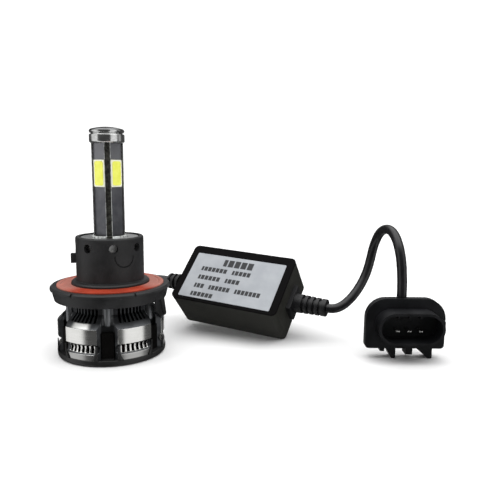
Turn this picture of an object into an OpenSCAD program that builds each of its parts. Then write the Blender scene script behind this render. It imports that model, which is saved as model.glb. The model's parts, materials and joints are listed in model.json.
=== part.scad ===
// LED headlight bulb on a three-lug plug-in base, with a cooling fan, an in-line driver and a plug.
// The lamp stands on its fan ring: the origin is the centre of that ring's underside, +Z is the lamp's axis.
// Bearings round the lamp are given from the front (-Y), positive towards +X.

/* [Light tower] */
// Height of the whole lamp
lamp_h = 89.4; // [88:0.1:92]
// Diameter over the tower's four corner rails
tower_d = 12.1; // [11.9:0.1:12.4]
// Bearing of the rail that faces the front
tower_turn = 14; // [0:1:44]
// Diameter of the tip cap
cap_d = 13.5; // [13.2:0.1:13.8]
// Height of the tip cap
cap_h = 6.2; // [5.8:0.1:6.6]
// Width of each LED board
board_w = 6.5; // [6.2:0.1:6.5]
// Thickness of each LED board
board_t = 0.7; // [0.6:0.1:0.9]
// Height of each LED package
chip_h = 10.4; // [10:0.1:12]
// Height of the LED packages' centre above the underside
chip_z = 71.6; // [66:0.1:74]

/* [Base collar] */
// Diameter of the collar that plugs into the lamp housing
collar_d = 26.4; // [26.2:0.1:26.6]
// Height of the collar's top edge
collar_top_z = 47.1; // [46:0.1:48]
// Diameter of the mounting flange
flange_d = 46.8; // [46:0.1:48]
// Height of the sealing face
seal_face_z = 28.6; // [28.4:0.1:28.8]
// Outer diameter of the sealing ring
seal_d = 41.8; // [41:0.1:42]
// Height of the row of clamping screws
screw_row_z = 43.3; // [43:0.1:44]
// Diameter of each clamping screw's hole
screw_hole_d = 3.4; // [3:0.1:3.6]
// Number of clamping screws
screw_count = 8; // [4:4:8]

/* [Heat sink] */
// Diameter over the lobes
sink_d = 42; // [41.6:0.1:42.4]
// Bearing of the groove that faces the front
groove_turn = 9; // [0:1:20]
// Air windows in each lobe
windows_per_lobe = 6; // [4:1:6]
// Cooling cuts across each lobe's shoulder
cuts_per_lobe = 7; // [5:1:7]

/* [Fan] */
// Outer diameter of the fan ring
ring_d = 42.6; // [42.4:0.1:43]
// Diameter of the fan ring's mouth
mouth_d = 31.6; // [31.4:0.1:31.7]
// Number of fan blades
blade_count = 7; // [5:1:9]
// Diameter over the blade tips
blade_tip_d = 29.6; // [28:0.1:30]
// Pitch of the blades
blade_pitch = 45; // [38:1:50]

/* [Driver] */
// Length of the driver case
driver_l = 51; // [50:0.5:52]
// Width of the driver case
driver_w = 29.6; // [29:0.1:30]
// Depth of the driver case
driver_h = 20; // [19.5:0.1:20.5]

/* [Cable and plug] */
// Diameter of the cable
cable_d = 3.9; // [3.7:0.1:4]
// Width of the plug's back plate
plate_w = 31.2; // [31:0.1:32]
// Width of the plug's shroud
shroud_w = 25.2; // [25:0.1:26]
// Height of the plug's shroud
shroud_h = 12.5; // [12.3:0.1:13]
// Spacing of the terminals
terminal_pitch = 4.5; // [4:0.1:4.8]

/* [Hidden] */
$fn = 96;
eps = 0.05;
fit_gap = 0.05;
turn_gap = 0.3;

// Tower.
post_z = 46.3;
foot_h = 1.1;
foot_r = 6.9;
board_foot_z = post_z + foot_h;
cap_z = lamp_h - cap_h;
tower_r = tower_d / 2;
board_back = 3.6;
board_front = board_back + board_t;
board_slot_w = board_w + 0.1;
chip_w = 5.7;
chip_t = 0.35;
phosphor_w = 4.4;
phosphor_h = 9.3;
phosphor_t = 0.2;
wire_bore_r = 1.6;
cap_bore_r = 2.45;
cap_bore_z = cap_z - 3.9;
wire_r = 0.6;

// Collar.
collar_r = collar_d / 2;
collar_bore_r = 9.8;
collar_step_r = 11.6;
collar_step_z = collar_top_z - 1.2;
plate_r = 11.2;
neck_r = collar_bore_r - turn_gap;
collar_foot_z = 24.4;
flange_r = flange_d / 2;
seal_r = seal_d / 2;
seal_in_r = 15.25;
seal_seat_z = seal_face_z - 1;
flange_under_z = 25.2;
skirt_z = 22.6;
skirt_bottom_r = flange_r - 1.5;
screw_turn = 20;
lug_bearings = [-76, 142, 212];
lug_z = 38.5;
lug_h = 3.6;
lug_w = 3.2;
lug_out_r = 15;
mark_turn = 38;
mark_z = 40;
mark_r = 4;
notch_turn = -24;
notch_count = 6;
gusset_turn = 80;
gusset_in_r = 20.7;
gusset_t = 1.2;

// Heat sink.
lobe_count = 6;
sink_r = sink_d / 2;
waist_at = [sink_r + 0.73, 6.6];
sink_z = 2.5;
window_z = 5.2;
window_top_z = 8.3;
waist_r = 2.13;
shoulder_z = 14.3;
sink_neck_r = 16.4;
shoulder_top_z = shoulder_z + sink_r - sink_neck_r;
sink_top_z = 24;
fan_bore_r = 15.9;
ceiling_z = 12.8;
plenum_r = 14.4;
plenum_z = 14.6;
socket_r = 7;
socket_z = 16.8;
lobe_step = 360 / lobe_count;
groove_floor_r = 17.4;
groove_w = 4.6;
groove_mouth_w = 8.6;
window_step = 5.5;
window_deg = 3.2;
cut_step = 5.2;
cut_w = 0.95;
cut_depth = 2.2;
pillar_r = 1.3;
pillar_at_r = 17.4;
pillar_z = 15;
pillar_top_z = 23.4;
lead_groove = 3;

// Fan.
ring_r = ring_d / 2;
ring_round = 1.2;
mouth_r = mouth_d / 2;
finger_in_r = groove_floor_r + 0.1;
finger_out_r = 19.6;
finger_w = groove_w - 0.2;
finger_top_z = 12.6;
ring_screw_at_r = 18.6;
ring_screw_r = 0.8;
ring_screw_head_r = 1.6;
ring_screw_head_h = 0.8;
ring_screw_top_z = 5.2;
hub_r = 9.25;
hub_z = 0.8;
hub_floor = 1.2;
hub_top_z = 9.6;
hub_wall_in_r = 8.3;
blade_z = 1.4;
blade_top_z = 9.4;
blade_t = 0.9;
shaft_r = 0.75;
boss_top_z = 3.6;
bush_bore_r = shaft_r + 0.04;
bush_r = 1.5;
tube_r = 2.2;
tube_z = 4.4;
frame_z = 11.4;
frame_hub_r = 7.6;
stator_z = 5.4;
stator_h = 3.2;
stator_r = 6.2;
pole_count = 4;
pole_w = 1.6;
coil_in_r = 3.1;
coil_out_r = 4.9;

// Lead from the lamp to the driver.
lead_turn = groove_turn + lead_groove * lobe_step;
lead_z = 9;
grommet_r = 2.25;
grommet_end_r = 23;
lead_route = [
    [-3.6, 22.7, 9], [-4.0, 25.8, 9], [-4.5, 28.9, 9.1], [-5.1, 31.9, 9.4], [-5.9, 34.8, 10],
    [-6.6, 37.8, 10.9], [-6.9, 40.7, 12], [-6.4, 43.5, 13.3], [-5, 46, 14.6], [-2.9, 47.9, 15.9],
    [-0.4, 49.3, 17.1], [2.5, 50, 18], [5.5, 50.2, 18.8], [8.6, 49.7, 19.3], [11.5, 48.8, 19.5],
    [14.4, 47.6, 19.5], [17.2, 46.2, 19.3]
];

// Driver.
driver_at = [51, 28.5, 18.75];
driver_turn = [44, 3, -25.5];
case_wall = 1.6;
case_corner_r = 2.2;
label_l = 44.4;
label_w = 24;
label_at_y = -1.3;
label_t = 0.25;
gland_z = -2;
gland_plate_t = 2;
inlet_gland_l = 12.6;
outlet_gland_l = 16;
gland_root_r = 4.2;
gland_tip_r = 3.7;
gland_groove = 0.9;
board_z = -6;
driver_pcb_t = 1.6;
part_z = board_z + driver_pcb_t;

// Cable from the driver to the plug.
plug_route = [
    [88.8, 12, 15.1], [92, 11.3, 15.2], [95.1, 11.7, 16.2], [98.1, 12.8, 18.2], [101.1, 14.3, 21.1],
    [103.8, 16, 24.6], [105.9, 17.4, 28.3], [107.4, 18.4, 32.2], [108.4, 18.8, 36.3], [109.1, 18.3, 40.4],
    [109.8, 16.5, 44.2], [110.5, 13.5, 47.4], [111.5, 9.8, 49.4], [112.7, 5.7, 49.7], [113.6, 1.7, 48.2],
    [114.2, -1.7, 45.5], [114.7, -4, 41.9], [115.2, -5, 37.7], [115.6, -5.1, 33.4], [115.9, -5, 29],
    [116, -4.8, 24.3]
];

// Plug.
plug_x = 117.2;
plate_z = 4.3;
plate_top_z = 24.3;
plate_y = -8;
joint_y = -4.5;
cover_y = -1.6;
shroud_y = -16;
shroud_x = plug_x + 0.5;
shroud_mid_z = 14.15;
shroud_wall = 1;
socket_floor_y = plate_y - 0.6;
terminal_x = plug_x + 0.2;
terminal_z = 12.6;
terminal_tip_y = -13;
terminal_w = 1.5;
terminal_t = 0.6;
fin_y = -7.4;
fin_depth = 5;

// Turns its children, drawn along +X, to a bearing round the lamp.
module at_bearing(bearing) {
    rotate([0, 0, bearing - 90])
        children();
}

// A bar that runs along +X from one radius to another, centred on the X axis.
module radial_bar(r1, r2, w, h) {
    translate([r1, -w / 2, -h / 2])
        cube([r2 - r1, w, h]);
}

// A round rod that runs along +X from one radius to another.
module radial_rod(r1, r2, r) {
    translate([r1, 0, 0])
        rotate([0, 90, 0])
            cylinder(h = r2 - r1, r = r, $fn = 40);
}

// A flat ring.
module tube(r_out, r_in, h) {
    difference() {
        cylinder(h = h, r = r_out);
        translate([0, 0, -eps])
            cylinder(h = h + 2 * eps, r = r_in);
    }
}

// A rectangle centred on the origin with round corners.
module round_rect(w, d, r) {
    square([w - 2 * r, d], center = true);
    square([w, d - 2 * r], center = true);
    for (x = [-1, 1], y = [-1, 1])
        translate([x * (w / 2 - r), y * (d / 2 - r)])
            circle(r = r, $fn = 40);
}

// A slot outline with round ends, centred on the origin.
module stadium(w, h) {
    square([w - h, h], center = true);
    for (x = [-1, 1])
        translate([x * (w - h) / 2, 0])
            circle(d = h, $fn = 64);
}

// Points of an arc about a centre, from one angle to another.
function arc(centre, r, from, to, steps) = [
    for (i = [0:steps])
        let (a = from + (to - from) * i / steps)
            centre + r * [cos(a), sin(a)]
];

// Unit vector.
function unit(v) = v / norm(v);

// Direction of a route at its point i.
function heading(route, i) =
    unit(route[min(i + 1, len(route) - 1)] - route[max(i - 1, 0)]);

// One ring of points round a route at its point i; up is never along the route.
function ring_points(route, i, r, up, sides) =
    let (side = unit(cross(heading(route, i), up)), rise = cross(side, heading(route, i)))
        [for (k = [0:sides - 1]) route[i] + r * (cos(360 * k / sides) * side + sin(360 * k / sides) * rise)];

// A round cable swept along a route.
module cable(route, up, sides = 8) {
    last = len(route) - 1;
    rings = [for (i = [0:last]) each ring_points(route, i, cable_d / 2, up, sides)];
    walls = [
        for (i = [0:last - 1], k = [0:sides - 1])
            let (a = i * sides + k, b = i * sides + (k + 1) % sides)
                each [[a, b, b + sides], [a, b + sides, a + sides]]
    ];
    start_cap = [for (k = [0:sides - 1]) sides - 1 - k];
    end_cap = [for (k = [0:sides - 1]) last * sides + k];
    polyhedron(points = rings, faces = concat(walls, [start_cap, end_cap]));
}

// Outline of a groove between two lobes, with wide chamfers at its mouth.
module groove_outline() {
    mouth_in_r = sink_r - (groove_mouth_w - groove_w) / 2;
    polygon([
        [groove_floor_r, -groove_w / 2],
        [mouth_in_r, -groove_w / 2],
        [sink_r, -groove_mouth_w / 2],
        [sink_r + 2, -groove_mouth_w / 2],
        [sink_r + 2, groove_mouth_w / 2],
        [sink_r, groove_mouth_w / 2],
        [mouth_in_r, groove_w / 2],
        [groove_floor_r, groove_w / 2]
    ]);
}

// Turned body of the heat sink, with a hollow waist, before its grooves and windows are cut.
module sink_blank() {
    rotate_extrude()
        polygon(concat(
            [[fan_bore_r, sink_z], [sink_r, sink_z]],
            arc(waist_at, waist_r, 250, 110, 4),
            [
                [sink_r, shoulder_z],
                [sink_neck_r, shoulder_top_z],
                [sink_neck_r, sink_top_z],
                [socket_r + fit_gap, sink_top_z],
                [socket_r + fit_gap, socket_z],
                [wire_bore_r, socket_z],
                [wire_bore_r, plenum_z],
                [plenum_r, plenum_z],
                [plenum_r, ceiling_z],
                [fan_bore_r, ceiling_z]
            ]
        ));
}

// Row of air windows through one lobe, centred on +X.
module lobe_windows() {
    reach = sink_r + 2;
    for (i = [0:windows_per_lobe - 1])
        rotate([0, 0, (i - (windows_per_lobe - 1) / 2) * window_step])
            translate([0, 0, window_z])
                linear_extrude(window_top_z - window_z)
                    polygon([
                        [10, -10 * sin(window_deg / 2)],
                        [reach, -reach * sin(window_deg / 2)],
                        [reach, reach * sin(window_deg / 2)],
                        [10, 10 * sin(window_deg / 2)]
                    ]);
}

// Cooling cuts in the upper part of one lobe's shoulder, centred on +X.
module lobe_cuts() {
    mid_r = sink_neck_r + 0.12 * (sink_r - sink_neck_r);
    mid_z = shoulder_z + sink_r - mid_r;
    slope = 0.9 * (sink_r - sink_neck_r) * sqrt(2);
    for (i = [0:cuts_per_lobe - 1])
        rotate([0, 0, (i - (cuts_per_lobe - 1) / 2) * cut_step])
            translate([mid_r, 0, mid_z])
                rotate([0, 45, 0])
                    cube([slope, cut_w, 2 * cut_depth], center = true);
}

// Lobed body that carries the fan below and the tower above.
module heat_sink() {
    color("dimgray") {
        difference() {
            sink_blank();
            for (i = [0:lobe_count - 1]) {
                at_bearing(groove_turn + i * lobe_step)
                    translate([0, 0, sink_z - eps])
                        linear_extrude(shoulder_top_z - sink_z + eps)
                            groove_outline();
                at_bearing(groove_turn + (i + 0.5) * lobe_step) {
                    lobe_windows();
                    lobe_cuts();
                }
            }
            at_bearing(lead_turn)
                translate([0, 0, lead_z])
                    radial_rod(fan_bore_r - 1, groove_floor_r + 1, grommet_r + fit_gap);
            for (side = [0, 180])
                at_bearing(groove_turn + lobe_step / 2 + side)
                    translate([ring_screw_at_r, 0, sink_z - eps])
                        cylinder(h = ring_screw_top_z - sink_z + 0.2, r = ring_screw_r + fit_gap, $fn = 40);
        }
        for (i = [0:lobe_count - 1])
            at_bearing(groove_turn + i * lobe_step)
                translate([pillar_at_r, 0, pillar_z])
                    cylinder(h = pillar_top_z - pillar_z, r = pillar_r, $fn = 40);
    }
}

// Section of the tower: a round bar with four flats sunk between its rails.
module post_outline() {
    difference() {
        circle(r = tower_r);
        for (i = [0:3])
            at_bearing(tower_turn + 45 + 90 * i)
                translate([board_back, -board_slot_w / 2])
                    square([tower_r, board_slot_w]);
    }
}

// Neck inside the collar and the tower above it, in one piece.
module lamp_core() {
    color("slategray")
        difference() {
            union() {
                translate([0, 0, socket_z + 0.2])
                    cylinder(h = sink_top_z - socket_z, r = socket_r);
                translate([0, 0, sink_top_z])
                    cylinder(h = post_z - sink_top_z, r = neck_r);
                translate([0, 0, post_z])
                    cylinder(h = foot_h, r = foot_r);
                translate([0, 0, post_z])
                    linear_extrude(cap_z - post_z)
                        post_outline();
            }
            translate([0, 0, socket_z - 1])
                cylinder(h = cap_z - socket_z, r = wire_bore_r, $fn = 40);
            translate([0, 0, cap_bore_z])
                cylinder(h = cap_z - cap_bore_z + eps, r = cap_bore_r + fit_gap, $fn = 40);
        }
}

// Bright plate round the foot of the tower.
module neck_plate() {
    color("silver")
        translate([0, 0, post_z])
            tube(plate_r, foot_r + 0.1, 0.4);
}

// Pair of insulated wires that run up the bore of the tower.
module core_wires() {
    color("firebrick")
        for (side = [-1, 1])
            translate([side * 0.75, 0, plenum_z])
                cylinder(h = cap_bore_z - plenum_z - 1, r = wire_r, $fn = 24);
}

// Turned cap on the tip of the tower, with a shallow groove under its domed top.
module tip_cap() {
    edge = 0.5;
    groove_low_z = cap_z + 3.4;
    groove_high_z = cap_z + 3.8;
    r = cap_d / 2;
    groove_floor = r - 0.7;
    dome_r = 22;
    color("darkslategray")
        rotate_extrude()
            polygon(concat(
                [
                    [0, cap_bore_z + 0.2],
                    [cap_bore_r, cap_bore_z + 0.2],
                    [cap_bore_r, cap_z],
                    [r - edge, cap_z],
                    [r, cap_z + edge],
                    [r, groove_low_z - 0.3],
                    [r - 0.3, groove_low_z],
                    [groove_floor, groove_low_z],
                    [groove_floor, groove_high_z],
                    [r - 0.3, groove_high_z]
                ],
                arc([r - 1, lamp_h - 1.8], 1, 0, 72, 4),
                arc([0, lamp_h - dome_r], dome_r, 76, 90, 4)
            ));
}

// Circuit board on one flat of the tower.
module led_board(i) {
    color("darkgray")
        at_bearing(tower_turn + 45 + 90 * i)
            translate([board_back, -board_w / 2, board_foot_z])
                cube([board_t, board_w, cap_z - board_foot_z]);
}

// LED package's frame on one board.
module led_package(i) {
    color("ivory")
        at_bearing(tower_turn + 45 + 90 * i)
            translate([board_front, 0, chip_z])
                rotate([90, 0, 90])
                    linear_extrude(chip_t)
                        round_rect(chip_w, chip_h, 0.5);
}

// Light-giving phosphor on one LED package.
module phosphor(i) {
    color("yellow")
        at_bearing(tower_turn + 45 + 90 * i)
            translate([board_front + chip_t, 0, chip_z])
                rotate([90, 0, 90])
                    linear_extrude(phosphor_t)
                        round_rect(phosphor_w, phosphor_h, 0.9);
}

// Turned shape of the collar, flange and skirt.
module collar_blank() {
    rotate_extrude()
        polygon([
            [collar_bore_r, collar_foot_z],
            [collar_r, collar_foot_z],
            [collar_r, flange_under_z],
            [skirt_bottom_r - 0.5, flange_under_z],
            [skirt_bottom_r - 1.4, skirt_z],
            [skirt_bottom_r, skirt_z],
            [flange_r - 0.5, flange_under_z + 1.5],
            [flange_r, flange_under_z + 1.5],
            [flange_r, seal_face_z - 1.2],
            [flange_r - 0.6, seal_face_z - 0.6],
            [seal_r + 0.1, seal_face_z - 0.6],
            [seal_r + 0.1, seal_seat_z],
            [seal_in_r - 0.05, seal_seat_z],
            [seal_in_r - 0.05, seal_face_z + 0.6],
            [seal_in_r - 0.6, seal_face_z + 1.1],
            [collar_r + 0.1, seal_face_z + 1.3],
            [collar_r, seal_face_z + 1.5],
            [collar_r, collar_top_z - 0.4],
            [collar_r - 0.4, collar_top_z],
            [collar_step_r, collar_top_z],
            [collar_step_r, collar_step_z],
            [collar_bore_r, collar_step_z]
        ]);
}

// Thin web with a thicker rib that braces the flange on one side and tapers down to a lobe's shoulder.
module flange_gusset() {
    top = flange_under_z + 1;
    at_bearing(gusset_turn)
        translate([gusset_in_r, 0, 0])
            rotate([90, 0, 90]) {
                linear_extrude(gusset_t / 2)
                    polygon([
                        [-6.8, top],
                        [1.2, top],
                        [1.5, 22],
                        [3.7, 15.9],
                        [2.9, 15.4],
                        [-1, 15.4],
                        [-6.8, 19]
                    ]);
                linear_extrude(gusset_t)
                    polygon([
                        [-5, top],
                        [1.2, top],
                        [1.5, 22],
                        [3.7, 15.9],
                        [2.9, 15.4],
                        [1.6, 15.4]
                    ]);
            }
}

// Shallow curved mark moulded in the collar's front.
module collar_mark() {
    at_bearing(mark_turn)
        translate([0, 0, mark_z])
            difference() {
                radial_rod(collar_r - 0.9, collar_r + 1, mark_r);
                radial_rod(collar_r - 1, collar_r + 2, mark_r - 0.45);
                translate([0, 0, mark_r + 0.5])
                    radial_bar(collar_r - 2, collar_r + 2, 3 * mark_r, 2 * mark_r);
            }
}

// Adapter collar with its flange, skirt, lugs and screw holes.
module base_collar() {
    color("darkslategray")
        difference() {
            union() {
                collar_blank();
                flange_gusset();
                for (bearing = lug_bearings)
                    at_bearing(bearing)
                        translate([0, 0, lug_z])
                            radial_bar(collar_r - 0.8, lug_out_r, lug_w, lug_h);
            }
            for (i = [0:screw_count - 1])
                at_bearing(screw_turn + i * 360 / screw_count)
                    translate([0, 0, screw_row_z])
                        radial_rod(collar_bore_r - 1, collar_r + 1, screw_hole_d / 2);
            for (i = [0:notch_count - 1])
                at_bearing(notch_turn + i * 360 / notch_count)
                    translate([0, 0, seal_face_z - 2.2])
                        radial_bar(flange_r - 0.7, flange_r + 1, 0.8, 3.4);
            collar_mark();
        }
}

// Flat rubber ring that seals the flange to the lamp housing.
module seal_ring() {
    groove_r = seal_r - 2.2;
    color("orangered")
        rotate_extrude()
            polygon([
                [seal_in_r, seal_seat_z],
                [seal_r, seal_seat_z],
                [seal_r, seal_face_z - 0.3],
                [seal_r - 0.3, seal_face_z],
                [groove_r + 0.6, seal_face_z],
                [groove_r + 0.4, seal_face_z - 0.25],
                [groove_r, seal_face_z - 0.25],
                [groove_r - 0.2, seal_face_z],
                [seal_in_r, seal_face_z]
            ]);
}

// Socket-headed grub screws that clamp the collar to the neck.
module clamp_screws() {
    tip_r = neck_r + 0.1;
    head_r = collar_r - 2.3;
    color("silver")
        for (i = [0:screw_count - 1])
            at_bearing(screw_turn + i * 360 / screw_count)
                translate([0, 0, screw_row_z])
                    difference() {
                        radial_rod(tip_r, head_r, screw_hole_d / 2 - 0.1);
                        translate([head_r - 0.6, 0, 0])
                            rotate([0, 90, 0])
                                cylinder(h = 1, r = 1, $fn = 6);
                    }
}

// Fan ring that closes the heat sink's underside, with a finger up each groove.
module fan_ring() {
    color("black")
        difference() {
            union() {
                rotate_extrude()
                    polygon(concat(
                        [[mouth_r, 0.4], [mouth_r + 0.4, 0]],
                        arc([ring_r - ring_round, ring_round], ring_round, -90, 0, 6),
                        [[ring_r, sink_z - 0.2], [ring_r - 0.2, sink_z], [mouth_r, sink_z]]
                    ));
                for (i = [0:lobe_count - 1])
                    at_bearing(groove_turn + i * lobe_step)
                        translate([finger_in_r, -finger_w / 2, 1])
                            cube([
                                finger_out_r - finger_in_r,
                                finger_w,
                                (i == lead_groove ? lead_z - grommet_r - 0.4 : finger_top_z) - 1
                            ]);
            }
            for (side = [0, 180])
                at_bearing(groove_turn + lobe_step / 2 + side)
                    translate([ring_screw_at_r, 0, 0]) {
                        translate([0, 0, -eps])
                            cylinder(h = sink_z + 1, r = ring_screw_r + fit_gap, $fn = 40);
                        translate([0, 0, -eps])
                            cylinder(h = ring_screw_head_h + 0.2, r = ring_screw_head_r + 0.1, $fn = 40);
                    }
        }
}

// Two cross-headed screws that hold the fan ring.
module fan_screws() {
    color("silver")
        for (side = [0, 180])
            at_bearing(groove_turn + lobe_step / 2 + side)
                translate([ring_screw_at_r, 0, 0.15])
                    difference() {
                        union() {
                            cylinder(h = ring_screw_head_h, r = ring_screw_head_r, $fn = 40);
                            cylinder(h = ring_screw_top_z - 0.15, r = ring_screw_r, $fn = 40);
                        }
                        for (turn = [0, 90])
                            rotate([0, 0, turn])
                                cube([2, 0.4, 1], center = true);
                    }
}

// Spider that holds the motor in the heat sink.
module fan_frame() {
    closed_z = ceiling_z - 0.5;
    color("dimgray")
        difference() {
            union() {
                translate([0, 0, ceiling_z - 2.4])
                    tube(fan_bore_r - fit_gap, plenum_r + 0.4, 2.4);
                translate([0, 0, frame_z])
                    cylinder(h = ceiling_z - frame_z, r = frame_hub_r);
                translate([0, 0, tube_z])
                    cylinder(h = ceiling_z - tube_z, r = tube_r, $fn = 48);
                for (i = [0:3])
                    at_bearing(45 + 90 * i)
                        translate([0, 0, (frame_z + ceiling_z) / 2])
                            radial_bar(frame_hub_r - 0.5, plenum_r + 0.6, 1.6, ceiling_z - frame_z);
            }
            translate([0, 0, tube_z - eps])
                cylinder(h = closed_z - tube_z, r = bush_r + 0.02, $fn = 48);
        }
}

// Motor's circuit board.
module fan_board() {
    color("darkgreen")
        translate([0, 0, frame_z - 1])
            tube(frame_hub_r - 0.4, tube_r + 0.1, 1);
}

// Laminated iron core with four poles.
module stator_core() {
    color("lightsteelblue")
        translate([0, 0, stator_z])
            linear_extrude(stator_h)
                difference() {
                    union() {
                        circle(r = coil_in_r - 0.1);
                        for (i = [0:pole_count - 1])
                            rotate(i * 90)
                                translate([0, -pole_w / 2])
                                    square([stator_r - 0.6, pole_w]);
                        for (i = [0:pole_count - 1])
                            rotate(i * 90)
                                intersection() {
                                    difference() {
                                        circle(r = stator_r);
                                        circle(r = stator_r - 1);
                                    }
                                    translate([0, -2.6])
                                        square([stator_r + 1, 5.2]);
                                }
                    }
                    circle(r = tube_r + 0.05);
                }
}

// Copper coils on the four poles.
module stator_coils() {
    gap = 0.05;
    build = 0.8;
    color("darkorange")
        for (i = [0:pole_count - 1])
            rotate([0, 0, i * 90])
                translate([coil_in_r, 0, stator_z + stator_h / 2])
                    difference() {
                        radial_bar(0, coil_out_r - coil_in_r, pole_w + 2 * build, stator_h + 2 * build);
                        radial_bar(-eps, coil_out_r, pole_w + 2 * gap, stator_h + 2 * gap);
                    }
}

// Sintered bearing bush for the fan's shaft.
module bearing_bush() {
    color("goldenrod")
        translate([0, 0, tube_z + 0.2])
            difference() {
                cylinder(h = 7.4, r = bush_r, $fn = 48);
                translate([0, 0, -eps])
                    cylinder(h = 7.4 + 2 * eps, r = bush_bore_r, $fn = 48);
            }
}

// One fan blade along +X, pitched about its own length.
module blade() {
    root_r = hub_r - 0.4;
    intersection() {
        translate([0, 0, blade_z])
            tube(blade_tip_d / 2, root_r, blade_top_z - blade_z);
        translate([root_r - 1, 0, (blade_z + blade_top_z) / 2])
            rotate([-blade_pitch, 0, 0])
                translate([0, -blade_t / 2, -10])
                    cube([10, blade_t, 20]);
    }
}

// Fan hub with its blades.
module impeller() {
    color("red") {
        difference() {
            union() {
                difference() {
                    translate([0, 0, hub_z])
                        cylinder(h = hub_top_z - hub_z, r = hub_r);
                    translate([0, 0, hub_z + hub_floor])
                        cylinder(h = hub_top_z, r = hub_wall_in_r);
                }
                translate([0, 0, hub_z + hub_floor - eps])
                    cylinder(h = boss_top_z - hub_z - hub_floor + eps, r = 1.8, $fn = 40);
            }
            translate([0, 0, hub_z + hub_floor])
                cylinder(h = 4, r = shaft_r + 0.01, $fn = 40);
            translate([0, 0, hub_z - eps])
                cylinder(h = 0.3, r = 0.6, $fn = 24);
        }
        for (i = [0:blade_count - 1])
            rotate([0, 0, i * 360 / blade_count])
                blade();
    }
}

// Steel ring that carries the magnet in the hub.
module rotor_cup() {
    color("silver")
        translate([0, 0, hub_z + hub_floor])
            tube(hub_wall_in_r - 0.05, 7.8, hub_top_z - hub_z - hub_floor - 0.2);
}

// Ring magnet that the stator turns.
module rotor_magnet() {
    color("darkgray")
        translate([0, 0, 3.2])
            tube(7.75, stator_r + 0.4, 6);
}

// Steel shaft pressed in the hub.
module fan_shaft() {
    color("lightgray")
        translate([0, 0, hub_z + hub_floor])
            cylinder(h = 10.1, r = shaft_r, $fn = 48);
}

// Washer between the hub's boss and the bearing.
module thrust_washer() {
    color("white")
        translate([0, 0, boss_top_z])
            tube(1.4, shaft_r + 0.02, 0.4);
}

// Grommet where the lead leaves the lamp.
module lead_grommet() {
    body_r = groove_floor_r + 0.1;
    color("black")
        at_bearing(lead_turn)
            translate([0, 0, lead_z])
                difference() {
                    union() {
                        radial_rod(fan_bore_r + 0.2, body_r + 0.2, grommet_r - 0.1);
                        radial_rod(body_r, grommet_end_r, grommet_r);
                    }
                    for (x = [20, 21.4])
                        translate([x, 0, 0])
                            rotate([0, 90, 0])
                                tube(grommet_r + 1, grommet_r - 0.4, 0.6);
                }
}

// Lead from the lamp to the driver.
module bulb_lead() {
    color("black")
        cable(lead_route, [0, 0, 1]);
}

// Places its children in the driver's own axes.
module in_driver() {
    translate(driver_at)
        rotate(driver_turn)
            children();
}

// Case of the driver, open below.
module driver_case() {
    color("black")
        in_driver()
            difference() {
                translate([0, 0, -driver_h / 2])
                    linear_extrude(driver_h)
                        round_rect(driver_l, driver_w, case_corner_r);
                translate([0, 0, -driver_h / 2 - 1])
                    linear_extrude(driver_h + 1 - case_wall)
                        round_rect(driver_l - 2 * case_wall, driver_w - 2 * case_wall, 0.8);
                translate([0, label_at_y, driver_h / 2 - label_t])
                    linear_extrude(1)
                        round_rect(label_l + 0.2, label_w + 0.2, 0.6);
                for (side = [0, 180])
                    rotate([0, 0, side])
                        translate([0, 0, gland_z])
                            radial_rod(driver_l / 2 - 3, driver_l / 2 + 1, gland_tip_r - 0.4);
            }
}

// Bottom plate of the driver, with four posts for the board.
module driver_base() {
    inner_l = driver_l - 2 * case_wall - 0.2;
    inner_w = driver_w - 2 * case_wall - 0.2;
    floor_top_z = case_wall - driver_h / 2;
    color("dimgray")
        in_driver() {
            translate([0, 0, -driver_h / 2])
                linear_extrude(case_wall)
                    round_rect(inner_l, inner_w, 0.7);
            for (x = [-1, 1], y = [-1, 1])
                translate([x * 18, y * 9, floor_top_z - eps])
                    cylinder(h = board_z - floor_top_z + eps, r = 1.6, $fn = 32);
        }
}

// Plate stuck in the recess on top of the driver.
module driver_label() {
    color("lightgray")
        in_driver()
            translate([0, label_at_y, driver_h / 2 - label_t])
                linear_extrude(label_t)
                    round_rect(label_l, label_w, 0.5);
}

// Driver's circuit board.
module driver_board() {
    color("darkgreen")
        in_driver()
            translate([0, 0, board_z])
                linear_extrude(driver_pcb_t)
                    round_rect(42, 22, 0.5);
}

// Ring core of the driver's inductor.
module inductor_core() {
    color("gold")
        in_driver()
            translate([-10, 0, part_z + 0.8])
                tube(6, 3.2, 4);
}

// Turns of copper round the inductor's core.
module inductor_winding() {
    gap = 0.1;
    wire = 0.6;
    color("chocolate")
        in_driver()
            translate([-10, 0, part_z + 2.8])
                for (i = [0:11])
                    rotate([0, 0, i * 30])
                        difference() {
                            radial_bar(3.2 - gap - wire, 6 + gap + wire, wire, 4 + 2 * (gap + wire));
                            radial_bar(3.1 - gap, 6 + gap, 2 * wire, 4 + 2 * gap);
                        }
}

// Two electrolytic capacitors.
module driver_capacitors() {
    color("midnightblue")
        in_driver()
            for (y = [-5, 5])
                translate([8, y, part_z])
                    cylinder(h = 9, r = 4, $fn = 48);
}

// Power chips on the driver's board.
module driver_chips() {
    color("darkslategray")
        in_driver()
            for (y = [-6, 0, 6])
                translate([17, y, part_z + 0.9])
                    cube([5, 4, 1.8], center = true);
}

// Ribbed strain relief with its plate, along +X from the driver's end wall.
module gland(length, grooves) {
    start = driver_l / 2;
    body_x = start + gland_plate_t;
    color("black")
        difference() {
            union() {
                radial_rod(start - case_wall, start, gland_tip_r - 0.5);
                radial_bar(start, body_x, 12, 9);
                translate([body_x, 0, 0])
                    rotate([0, 90, 0])
                        cylinder(h = length - gland_plate_t, r1 = gland_root_r, r2 = gland_tip_r, $fn = 48);
            }
            for (i = [0:grooves - 1])
                translate([body_x + 3.4 + 2.5 * i, 0, 0])
                    rotate([0, 90, 0])
                        tube(gland_root_r + 1, gland_tip_r - gland_groove, 1.1);
        }
}

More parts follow.
